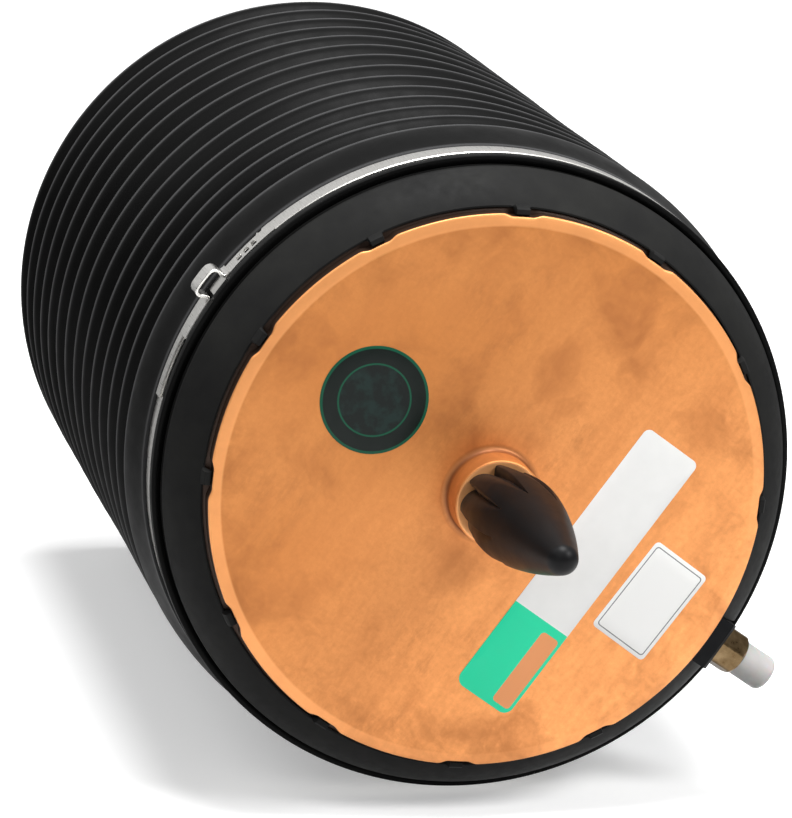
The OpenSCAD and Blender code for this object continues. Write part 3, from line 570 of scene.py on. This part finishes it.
def nose_grid():
    """The fluted nose as radius over height and angle, in millimetres up to the last line.

    The body swells from its skirt to its widest height as a quarter of a sine; above, the radius falls by
    the power 1.5 of the share climbed, and a ball of the same slope closes the tip. A flute takes
    depth(h) x saw(angle): the saw drops over a sixth of the flute as 1 less a cosine, and climbs back over
    the rest by the power 1.6, so that the lobes are round and the notches sharp. It narrows with height, so that
    the flute has the outline of a leaf."""
    s = sizes()
    wide_r, wide_h, end_r, tip_h, skirt_r, skirt_h = 12.5, 27.0, 4.3, 72.8, 11.1, 8.5
    taper_h, flute_h, foot_h, drop, side = 42.6, 41.0, -5.9, 0.16, math.radians(76)
    slope = math.atan(1.5 * (wide_r - end_r) / taper_h)
    ball = end_r / math.cos(slope)
    end_h = tip_h - ball * (1 - math.sin(slope))
    h = np.concatenate([np.linspace(skirt_h, wide_h, 36), np.linspace(wide_h, end_h, 76)[1:]])
    share = np.clip((h - wide_h) / (end_h - wide_h), 0, 1)
    swell = np.sin(np.clip((h - skirt_h) / (wide_h - skirt_h), 0, 1) * np.pi / 2)
    body = np.where(h < wide_h, skirt_r + (wide_r - skirt_r) * swell, end_r + (wide_r - end_r) * (1 - share ** 1.5))
    angle = around(48 * s.flute_count)
    turn = (angle * s.flute_count / (2 * np.pi) + 0.08) % 1
    run = np.clip((h - skirt_h) / (flute_h - skirt_h), 0, 1)
    width = 0.9 * (1 - run ** 1.8) + 0.02
    x = np.clip(turn[None, :] / width[:, None], 0, 1)
    climb = np.clip(1 - (x - drop) / (1 - drop), 0, 1) ** 1.6
    saw = np.where(x >= 1, 0, np.where(x < drop, 1 - np.cos(x / drop * np.pi / 2), climb))
    depth = s.flute_depth / MM * (1 - run) ** 0.7
    tip = np.linspace(slope, np.radians(87), 14)[1:]
    stem = np.array([[6.0, foot_h], [7.5, foot_h], [7.5, skirt_h - 0.1], [skirt_r - 3.4, skirt_h - 0.05]])
    ends = [np.repeat(edge[:, None], angle.size, 1) for edge in (stem[:, 0], ball * np.cos(tip))]
    r = np.vstack([ends[0], body[:, None] - depth[:, None] * saw, ends[1]])
    h = np.concatenate([stem[:, 1], h, end_h + ball * (np.sin(tip) - math.sin(slope))])[:, None]
    lean = np.tan(s.nose_lean) * np.clip(h - 8, 0, None) * [math.cos(side), math.sin(side), 0]
    return (wheel(r, angle, h) + lean[:, None, :]) * MM + [0, 0, FACE_Z]


class AIRSPRING_OT_nose(bpy.types.Operator):
    """Fluted rubber nose in the plate's boss"""

    bl_idname = "airspring.nose"
    bl_label = "Locating nose"

    def execute(self, context):
        piece = surface("nose_skin", nose_grid(), True, sharp_deg=38)
        rubber = moulded_rubber("nose_rubber", "0b0b0c", "121213", 0.42, 0.11)
        dressed(piece, rubber, "upper", ["locating_nose"])
        return {"FINISHED"}


# ---------------------------------------------------------------- the clamp


def ear_path(middle, foot_r, height):
    """The ear's inner face as angle and radius: feet that curl out of the band, legs that open outwards, and a
    flat top with rounded shoulders, leaning a little. Half of the path is mirrored, then a running mean rounds it."""
    top, sheet, lean, span = 4.55, 0.9, 0.2, 11
    half = np.array([[5.6, 0], [4.3, 0.05], [3.3, 0.5], [3.1, 1.2], [3.5, 2.4], [3.9, 3.3], [3.6, 4.1], [2.8, 4.5],
                     [0, top]])
    half[:, 1] *= (height / MM - sheet) / top
    path = np.vstack([half * [-1, 1], half[-2::-1]])
    run = lengths(path)
    even = np.linspace(0, run[-1], 121)
    fine = np.stack([np.interp(even, run, path[:, k]) for k in (0, 1)], -1)
    padded = np.vstack([np.repeat(fine[:1], span // 2, 0), fine, np.repeat(fine[-1:], span // 2, 0)])
    smooth = np.stack([np.convolve(padded[:, k], np.ones(span) / span, "valid") for k in (0, 1)], -1)
    y = (smooth[:, 0] + lean * smooth[:, 1]) * MM
    r = foot_r + smooth[:, 1] * MM
    return middle + np.arctan2(y, r), np.hypot(y, r)


def slotted_tail(name, angle, inner, low, high, thick):
    """The band's slotted tail: radius over angle and share of the width, with three slots pressed through it.

    The radius rises over the rounded edges, and falls by most of the thickness inside a slot, whose shape
    is a rectangle in angle and height. Faces in a slot take the second material, a near-black painted shade."""
    share = np.concatenate([[0, 0], np.linspace(0, 1, 41), [1, 1]])
    lift = np.concatenate([[0, thick * 0.8], np.full(41, thick), [thick * 0.8, 0]])
    z = low[:, None] + (high - low[:, None]) * share[None, :]
    degrees = np.degrees(angle)[:, None]
    half_turn, mid_share, half_share = 0.5, 0.52, 0.25
    slot = np.zeros(z.shape, bool)
    for middle in (168.3, 170.0, 171.8):
        slot |= (np.abs(degrees - middle) < half_turn) & (np.abs(share - mid_share)[None, :] < half_share)
    r = inner + np.where(slot, 0.1 * thick, lift[None, :])
    under = inner - 0.0002
    full = np.concatenate([wheel(r, angle[:, None], z), wheel(under, angle[:, None], z[:, [-1, 0]])], 1)
    run = (angle - angle[0]) * inner
    made = surface(name, full, True, (run, np.linspace(0, 0.009, full.shape[1] + 1)), 30)
    sunk = slot[:-1, :-1] & slot[1:, :-1] & slot[:-1, 1:] & slot[1:, 1:]
    index = np.zeros((len(angle) - 1, full.shape[1]), np.int32)
    index[:, :sunk.shape[1]] = sunk
    fans = len(made.data.polygons) - index.size
    made.data.polygons.foreach_set("material_index", np.concatenate([index.ravel(), np.zeros(fans, np.int32)]))
    return made


class AIRSPRING_OT_clamp(bpy.types.Operator):
    """Ear clamp: inner band, outer layer on both sides of the ear, ear, slotted tail and tongue"""

    bl_idname = "airspring.clamp"
    bl_label = "Boot clamp"

    def execute(self, context):
        steel = brushed_strip()
        low, high, thick = CLAMP_LOW, 0.2522, 0.0007
        out = CLAMP_R + thick
        tongue = 188.2, 200.0
        deg = np.radians

        def strip(name, turn, radius, z0, z1):
            """A length of band along angles in degrees"""
            made = band(name, deg(turn), np.full(turn.size, radius), z0, z1, thick)
            dressed(made, steel, "upper", ["boot_clamp"])

        def step(at, from_deg, to_deg, size):
            """size between two angles and nothing outside, over short ramps"""
            ramp = 0.25
            return size * np.clip((at - from_deg) / ramp, 0, 1) * np.clip((to_deg - at) / ramp, 0, 1)

        turn = np.linspace(181.0, 539.5, 900)
        strip("clamp_band", turn, CLAMP_R, low + step(turn % 360, 164.6, 176.4, 0.0014),
              high - step(turn % 360, *tongue, 0.0040))
        strip("clamp_tail_side", np.linspace(50.0, 164.8, 260), out, low, high)
        strip("clamp_tongue_root", np.linspace(180.4, 188.5, 30), out, low, high)
        strip("clamp_tongue", np.linspace(*tongue, 40), out, low, low + 0.0042)
        turn = np.linspace(163.9, 175.8, 140)
        edge = low + 0.0013 - step(turn, 163.8, 165.9, 0.0013) - step(turn, 166.5, 167.1, 0.0014)
        tail = slotted_tail("clamp_slotted_tail", deg(turn), out, edge, high, thick)
        dressed(tail, steel, "upper", ["boot_clamp"])
        # the slots' floors are near black: painted shade in the holes
        tail.data.materials.append(moulded_rubber("painted_shade_in_the_slots", "020202", "060606", 0.6, 0.02))
        angle, radius = ear_path(deg(178.0), out, sizes().ear_height)
        ear = band("clamp_ear", angle, radius, low + 0.0003, high - 0.0003, 0.0009)
        dressed(ear, steel, "upper", ["boot_clamp"])
        return {"FINISHED"}


# ---------------------------------------------------------------- stickers


def sticker(name, centre, along, long, wide, corners):
    """A rounded rectangle lying on the plate: its outline is four corner arcs pushed apart, scaled in to the middle.

    corners gives the corner radius at the two ends along the sticker."""
    angle = around(96) + np.pi / 96
    c, s = np.cos(angle), np.sin(angle)
    corner = np.where(c < 0, corners[0], corners[1])
    outline = np.stack([np.sign(c) * (long / 2 - corner) + corner * c,
                        np.sign(s) * (wide / 2 - corner) + corner * s], -1)
    base, thick = FACE_Z + 0.00002, 0.00015
    rows = [(0.02, thick), (0.35, thick), (0.7, thick), (0.985, thick), (1.0, thick * 0.6), (1.0, 0)]
    flat = np.stack([outline * k for k, _ in rows])
    u = np.array([math.cos(along), math.sin(along)])
    v = np.array([-u[1], u[0]])
    xy = centre + flat[..., :1] * u + flat[..., 1:] * v
    z = np.array([base + h for _, h in rows])
    grid = np.concatenate([xy, np.broadcast_to(z[:, None, None], (*xy.shape[:2], 1))], -1)
    made = surface(name, grid, True, sharp_deg=50)
    mesh = made.data
    local = vertices(mesh)[:, :2] - centre
    pair = np.stack([local @ u, local @ v], -1)
    index = np.zeros(len(mesh.loops), np.int32)
    mesh.loops.foreach_get("vertex_index", index)
    mesh.uv_layers.new(name="UVMap").data.foreach_set("uv", pair[index].astype(np.float32).ravel())
    return made


def on_plate(u, v):
    """A place on the plate, from the frame and units of the camera's fit."""
    x, y = FIT_UNIT * v, FIT_UNIT * u
    return np.array([x * math.cos(FIT_TURN) - y * math.sin(FIT_TURN), x * math.sin(FIT_TURN) + y * math.cos(FIT_TURN)])


def lying(corners):
    """Middle and turn of a sticker with these corners: its length runs from the first and last to the others."""
    quad = [on_plate(*corner) for corner in corners]
    axis = (quad[1] + quad[2] - quad[0] - quad[3]) / 2
    return sum(quad) / 4, math.atan2(axis[1], axis[0])


class AIRSPRING_OT_stickers(bpy.types.Operator):
    """Blank stickers on the plate: a long one with a green end, a small framed one and a round dark one"""

    bl_idname = "airspring.stickers"
    bl_label = "Stickers"

    def execute(self, context):
        middle, turn = lying(((0.532, -0.438), (-0.569, -0.202), (-0.623, -0.426), (0.469, -0.679)))
        piece = sticker("label_long", middle, turn, 0.0898, 0.0192, (0.003, 0.002))
        fields = [("12d9a4", (-60, -20, -16.4, 20), 0.1), ("e99a62", (-43.2, -8.6, -19.0, -2.6), 1.2)]
        dressed(piece, printed_vinyl("white_label_vinyl", "efefed", fields), "upper")
        middle, turn = lying(((0.036, -0.619), (-0.332, -0.551), (-0.391, -0.779), (-0.019, -0.862)))
        piece = sticker("label_small", middle, turn, 0.0302, 0.0192, (0.0014, 0.0014))
        frame_line = [("6f7072", (-14.0, -8.6, 14.0, 8.6), 1.0), ("f2f2f0", (-13.7, -8.3, 13.7, 8.3), 0.8)]
        dressed(piece, printed_vinyl("framed_label_vinyl", "f2f2f0", frame_line), "upper")
        piece = sticker("label_round", on_plate(0.089, 0.546), 0, 0.0308, 0.0308, (0.0154, 0.0154))
        dressed(piece, dark_seal_vinyl(), "upper")
        return {"FINISHED"}


# ---------------------------------------------------------------- finishes of the rigid nodes


def finger_run(angle):
    """Distance in mm along the rim from the nearest snap finger, with none at the fitting."""
    rim_r = 80
    turn = np.degrees(angle) % 360
    place = np.clip(np.round(turn / FINGER_STEP), 1, FINGERS)
    return rim_r * np.abs(np.radians(turn - FINGER_STEP * place))


def plate_grid():
    """The cap plate as radius and height over angle.

    The rim's bevel falls by 0.5 mm x t to the power 1.6 over 3.1 mm and ends in a corner of 0.5 mm. Beside
    each snap finger the rim is pressed in by 0.9 mm, flat over the finger and fading out on both sides as a
    half cosine."""
    t = np.linspace(1, 0, 12)
    skirt = np.vstack([[[0.5, -9], [12.6, -9], [12.6, -3], [76.8, -3]], arc(76.8, -3.9, 0.9, 90, 0, 5),
                       [[77.7, -36], [80.7, -36], [80.7, -5.3], [79.9, -5.0], [79.9, -2.4]]])
    rim = np.vstack([arc(79.4, -1.0, 0.5, 0, 70, 6), np.stack([76.4 + 3.1 * t, -0.5 * t ** 1.6], -1)])
    boss = np.vstack([[[74.5, 0], [70.0, 0], [14.2, 0]], arc(14.2, 1.6, 1.6, -90, -180, 7), [[12.6, 9.6]],
                      arc(12.0, 9.6, 0.6, 0, 90, 6),
                      [[11.6, 10.15], [9.5, 9.95], [7.55, 9.9], [7.55, -6], [0.5, -6]]])
    rows = np.vstack([skirt, rim, boss])
    angle = around(1080)
    dip = 0.9 * (0.5 + 0.5 * np.cos(np.pi * np.clip((finger_run(angle) - 2.6) / 3.4, 0, 1)))
    near = np.clip((rows[:, 0] - 74.5) / 2.3, 0, 1) * (rows[:, 1] > -5.1)
    return wheel(rows[:, :1] - near[:, None] * dip[None, :], angle, rows[:, 1:]) * MM + [0, 0, FACE_Z]


def port_boss_grid():
    """The plate's inner boss round the fitting's shank: a short tube along X."""
    rows = np.array([[4.25, 68.7], [6.8, 68.7], [7.2, 69.1], [7.2, 79], [4.25, 79]]) * MM
    return wheel(rows[:, :1], around(64), rows[:, 1:])[..., [2, 0, 1]] + [0, 0, PORT_Z]


def ring_grid():
    """The housing ring as radius and height over angle, closed both ways.

    The face runs from the ledge to the edge along a line with a crown of 4 x 0.7 x t x (1 - t). Over each
    finger's width the six rows of the ledge move to the finger's own outline. In the window of the
    fitting block every row above the window's floor is pressed down to it, and the window's sides are
    straight, at half its width from the fitting's axis."""
    t = np.linspace(0, 1, 24)[:, None]
    start, end = np.array([81.4, -4.6]), np.array([89.88, -14.7])
    out = np.array([10.1, 8.48]) / np.hypot(10.1, 8.48)
    face = start + (end - start) * t + out * 2.8 * t * (1 - t)
    ledge = np.stack([np.linspace(80.9, 81.38, 6), np.full(6, -4.6)], -1)
    tongue = np.array([[79.3, -4.0], [79.2, -2.0], [79.6, -1.5], [80.9, -1.6], [81.4, -2.2], [81.75, -4.3]])
    rows = np.vstack([[[80.9, -22.3], [80.9, -5.2]], ledge, face, arc(88.6, -15.66, 1.6, 36, 0, 8)[1:],
                      [[90.2, -16.3], [89.2, -16.7], [89.2, -18.3], [90.2, -18.3], [90.2, -34], [86.9, -34],
                       [86.9, -22.3]]])
    count, inside, floor = 1080, 15, -18.8
    angle = around(count)
    r = np.repeat(rows[:, :1], count, 1)
    h = np.repeat(rows[:, 1:], count, 1)
    finger = np.clip((2.35 - finger_run(angle)) / 0.3, 0, 1)[None, :]
    r[2:8] += (tongue[:, :1] - ledge[:, :1]) * finger
    h[2:8] += (tongue[:, 1:] - ledge[:, 1:]) * finger
    turn = np.repeat(angle[None, :], len(rows), 0)
    for column, half in ((inside, 7.69), (inside + 1, 7.71)):
        turn[:, column] = np.arcsin(half / r[:, column])
        turn[:, count - column] = -np.arcsin(half / r[:, count - column])
    window = np.r_[0:inside + 1, count - inside:count]
    h[:, window] = np.minimum(h[:, window], floor)
    return wheel(r, turn, h) * MM + [0, 0, FACE_Z]


class AIRSPRING_OT_plate(bpy.types.Operator):
    """Copper-toned cap plate"""

    bl_idname = "airspring.plate"
    bl_label = "Cap plate"

    def execute(self, context):
        copper = copper_toned_plate()
        piece = surface("cap_plate_skin", plate_grid(), True, sharp_deg=35)
        dressed(piece, copper, "upper", ["top_cap"])
        piece = surface("cap_port_boss", port_boss_grid(), sharp_deg=35)
        dressed(piece, copper, "upper", ["top_cap"])
        return {"FINISHED"}


class AIRSPRING_OT_housing(bpy.types.Operator):
    """Housing ring and fitting block"""

    bl_idname = "airspring.housing"
    bl_label = "Housing ring"

    def execute(self, context):
        piece = surface("housing_ring_skin", ring_grid(), sharp_deg=34)
        nylon = moulded_nylon("ring_nylon", colour("ring"), "212120", 0.55, 0.05)
        dressed(piece, nylon, "upper", ["housing_ring"])
        give(moulded_nylon("block_nylon", "0a0b0d", "101113", 0.5, 0.08), "fitting_block")
        return {"FINISHED"}


class AIRSPRING_OT_air_port(bpy.types.Operator):
    """Air fitting, its seals and collet, and the protective cap"""

    bl_idname = "airspring.air_port"
    bl_label = "Air port"

    def execute(self, context):
        give(machined_brass("dull_brass", "56452e", "76644a", 0.27), "air_fitting")
        give(machined_brass("stamped_brass", "b79a56", "cdb474", 0.28), "tube_collet")
        give(natural_polyethylene(), "port_cap")
        give(moulded_rubber("seal_rubber", "101011", "18181a", 0.35, 0.4), "port_seal", "tube_seal", "base_seal")
        return {"FINISHED"}


class AIRSPRING_OT_piston(bpy.types.Operator):
    """Piston, base flange, hoop, screws, insert, crimp rings and strike plate"""

    bl_idname = "airspring.piston"
    bl_label = "Piston and base"

    def execute(self, context):
        give(moulded_nylon("piston_nylon", "1c1c1e", "262628", 0.52), "piston")
        give(moulded_nylon("base_nylon", "212123", "2b2b2d", 0.55), "piston_base", "lower_boot_ring")
        give(plated_steel("zinc_plate", "a9abae", "c3c5c8", 0.32), "base_screws", "bumper_screw", "bumper_washer")
        give(plated_steel("swaged_steel", "85878a", "9b9da0", 0.4), "upper_crimp_ring", "lower_crimp_ring",
             "strike_plate")
        give(machined_brass("insert_brass", "b3975a", "c9ae70", 0.26), "mount_insert")
        return {"FINISHED"}


def bumper_outline():
    """Profile of the foam bumper: a column less two bell-shaped waists, tapered above, with a recess in its top."""
    tall, waist, bell = 50.7, 4.8, 2.6
    step = tall / 12
    h = np.linspace(0, tall, 90)
    r = 30 - waist * (np.exp(-((h - 4 * step) / bell) ** 2) + np.exp(-((h - 8 * step) / bell) ** 2))
    r -= 4.8 * np.clip((h - 9 * step) / (3 * step), 0, 1) + 1.2 * np.clip((h - 49.2) / 1.5, 0, 1) ** 2
    inside = [[16.2, tall], [15.3, 50.2], [15, 49.4], [15, 8], [4.2, 8], [4.2, 0]]
    return np.vstack([np.stack([r, h], -1), inside]) * MM + [0, 0.128]


class AIRSPRING_OT_bumper(bpy.types.Operator):
    """Foam jounce bumper on the piston"""

    bl_idname = "airspring.bumper"
    bl_label = "Jounce bumper"

    def execute(self, context):
        piece = revolved("foam_bumper", bumper_outline(), 144, sharp_deg=45)
        dressed(piece, cellular_foam(), "lower", ["jounce_bumper"])
        return {"FINISHED"}


# ---------------------------------------------------------------- studio


def background_rays(add, mirrored):
    """1 for the rays that see the background: the camera's and those through glass, and a share of the mirrored."""
    shown = add("Math", add("LightPath", out="Is Camera Ray"), mirrored, operation="MAXIMUM")
    return add("Math", shown, add("LightPath", out="Is Transmission Ray"), operation="MAXIMUM")


def white_floor():
    """A floor along the boot's folds, for a spring that lies on its side. It keeps the shadow, and is clear from below.

    What the camera sees of it is the floor's colour with a glow that makes it white. To light and to reflections
    it is a dull grey, except that reflections show it white where it lies towards the camera."""
    lean = math.radians(123.2)
    up, along = Vector((math.cos(lean), math.sin(lean), 0)), Vector((0, 0, 1))
    across = along.cross(up)
    reach, drop = 3.0, -0.0962
    corners = [Vector((0, 0, 0.14)) + up * drop + across * a * reach + along * b * reach
               for a, b in ((-1, -1), (1, -1), (1, 1), (-1, 1))]
    mesh = bpy.data.meshes.new("studio_floor")
    mesh.from_pydata([tuple(c) for c in corners], [], [(0, 1, 2, 3)])
    if mesh.polygons[0].normal.dot(up) < 0:
        mesh.flip_normals()
    floor = bpy.data.objects.new("studio_floor", mesh)
    bpy.context.scene.collection.objects.link(floor)
    material, add = blank("white_floor")
    glow = 0.365
    lit = add("AddShader", add("BsdfDiffuse", colour("floor")), add("Emission", Strength=glow))
    forward = add("VectorMath", add("TexCoord", out="Object"), TO_CAMERA, operation="DOT_PRODUCT")
    bright = add("MapRange", forward, 0.05, 0.20, 0.06, 1)
    mirrored = add("Math", add("LightPath", out="Is Glossy Ray"), bright, operation="MULTIPLY")
    front = add("MixShader", background_rays(add, mirrored), add("BsdfDiffuse", "8a8a8a"), lit)
    add("OutputMaterial", add("MixShader", add("NewGeometry", out="Backfacing"), front, add("BsdfTransparent")))
    mesh.materials.append(material)


def white_room():
    """Surroundings that are white to the camera and through glass, and a faint grey to everything they light.

    A reflection shows them white above and behind the object, and dark elsewhere, so that the black rubber
    keeps its depth and has a soft sheen along its top."""
    world = bpy.data.worlds.new("white_room")
    bpy.context.scene.world = world
    add = emptied(world)
    white, ambient, dim = 1.0, 0.2, 0.13
    glossy = add("LightPath", out="Is Glossy Ray")
    ahead = add("VectorMath", add("TexCoord", out="Generated"), BRIGHT_WAY, operation="DOT_PRODUCT")
    seen = add("Mix", glossy, white, add("MapRange", ahead, 0.2, 0.8, dim, white), data_type="FLOAT")
    strength = add("Mix", background_rays(add, glossy), ambient, seen, data_type="FLOAT")
    add("OutputWorld", add("Background", Strength=strength))


def lamp(name, way, size, power):
    """A round soft lamp that looks at the object from one way, in metres."""
    target = Vector((0, 0, 0.17))
    data = bpy.data.lights.new(name, "AREA")
    data.shape, data.size, data.energy = "DISK", size, power
    made = bpy.data.objects.new(name, data)
    bpy.context.scene.collection.objects.link(made)
    made.location = target + way
    made.rotation_mode = "QUATERNION"
    made.rotation_quaternion = (target - made.location).to_track_quat("-Z", "Y")


def photo_camera():
    """The photograph's camera, placed by the fit to the plate's rim, the ring's edges and the boot's outline."""
    scene = bpy.context.scene
    turn = Matrix.Rotation(FIT_TURN, 3, "Z")
    right = turn @ Vector((-0.6189, -0.7535, 0.2217))
    top = turn @ Vector((0.70935, -0.65743, -0.2541))
    look = turn @ Vector((-0.3373, 0, -0.9414))
    place = turn @ Vector((5.2635 * FIT_UNIT, 0.0533 * FIT_UNIT, 13.382 * FIT_UNIT)) + Vector((0, 0, FACE_Z))
    data = bpy.data.cameras.new("photo_camera")
    data.lens, data.sensor_width, data.clip_start, data.clip_end = 181.49, 36, 0.01, 20
    camera = bpy.data.objects.new("photo_camera", data)
    scene.collection.objects.link(camera)
    columns = Matrix((right.normalized(), top.normalized(), (-look).normalized())).transposed()
    camera.matrix_world = Matrix.Translation(place) @ columns.to_4x4()
    scene.camera = camera


class AIRSPRING_OT_stage(bpy.types.Operator):
    """White floor that keeps the shadow, plain soft lamps, white surroundings and the photograph's camera"""

    bl_idname = "airspring.stage"
    bl_label = "Studio"

    def execute(self, context):
        context.scene.view_settings.view_transform = "Standard"
        white_floor()
        white_room()
        lamp("overhead", (TOP * 0.93 + TO_CAMERA * 0.30 + RIGHT * 0.08) * 2.6, 1.3, 95)
        lamp("right_side", TO_CAMERA * 0.60 + RIGHT * 0.65 + TOP * 0.45, 0.35, 7.0)
        lamp("left_top", (TOP * 0.75 - RIGHT * 0.6 + TO_CAMERA * 0.3) * 1.6, 0.9, 4.4)
        lamp("front_fill", (TO_CAMERA * 0.9 + TOP * 0.35 - RIGHT * 0.25) * 1.5, 1.1, 4.2)
        photo_camera()
        return {"FINISHED"}


# ---------------------------------------------------------------- panel and registration

STEPS = ("plate", "housing", "nose", "air_port", "clamp", "boot", "sleeve", "piston", "bumper", "stickers", "stage")


class AIRSPRING_PT_panel(bpy.types.Panel):
    """Lists the pieces of the air spring"""

    bl_idname = "AIRSPRING_PT_panel"
    bl_label = "Air Spring"
    bl_space_type = "VIEW_3D"
    bl_region_type = "UI"
    bl_category = "Air Spring"

    def draw(self, context):
        column = self.layout.column()
        for step in STEPS:
            column.operator(f"airspring.{step}")
        for group in (context.scene.air_spring_sizes, context.scene.air_spring_colours):
            for name in group.__annotations__:
                column.prop(group, name)


CLASSES = (AirSpringSizes, AirSpringColours, AIRSPRING_OT_plate, AIRSPRING_OT_housing, AIRSPRING_OT_nose,
           AIRSPRING_OT_air_port, AIRSPRING_OT_clamp, AIRSPRING_OT_boot, AIRSPRING_OT_sleeve, AIRSPRING_OT_piston,
           AIRSPRING_OT_bumper, AIRSPRING_OT_stickers, AIRSPRING_OT_stage, AIRSPRING_PT_panel)


def register():
    for cls in CLASSES:
        bpy.utils.register_class(cls)
    bpy.types.Scene.air_spring_sizes = PointerProperty(type=AirSpringSizes)
    bpy.types.Scene.air_spring_colours = PointerProperty(type=AirSpringColours)


def unregister():
    del bpy.types.Scene.air_spring_sizes
    del bpy.types.Scene.air_spring_colours
    for cls in reversed(CLASSES):
        bpy.utils.unregister_class(cls)


def main():
    register()
    for step in STEPS:
        getattr(bpy.ops.airspring, step)()


if __name__ == "__main__":
    main()
